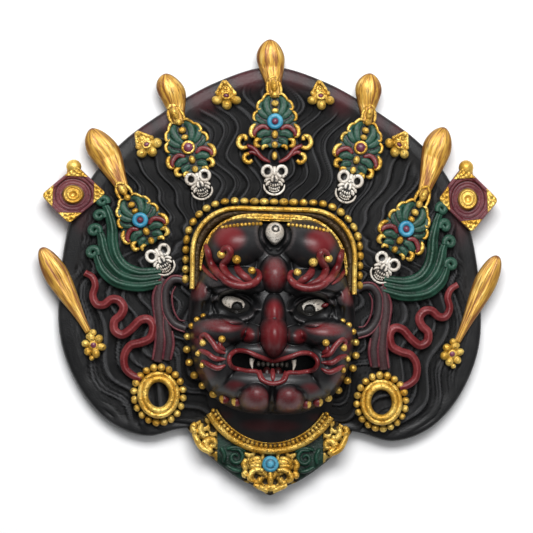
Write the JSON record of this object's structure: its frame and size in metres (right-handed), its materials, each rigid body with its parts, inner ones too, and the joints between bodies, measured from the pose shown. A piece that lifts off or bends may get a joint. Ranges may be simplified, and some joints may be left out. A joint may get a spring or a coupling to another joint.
{
  "type": "bhairab mask",
  "caption": "Cast and painted wall mask of a wrathful guardian with a skull crown, flowing hair, round earrings and a gorget, flat at the back with a hollow behind the face.",
  "frame": {"origin": "middle of the mask's box, on the flat back that it lies on", "axes": "+Z out of the wall, the way the face looks; +Y up to the crown's middle petal; +X to the right as seen from the front"},
  "size_m": [0.2508, 0.246, 0.0598],
  "materials": {
    "black_paint": "satin",
    "maroon_paint": "satin",
    "red_paint": "satin",
    "gold_paint": "satin",
    "green_paint": "satin",
    "ivory_paint": "satin",
    "turquoise_paint": "gloss"
  },
  "bodies": {
    "root": {"mask": "black_paint"}
  },
  "joints": []
}
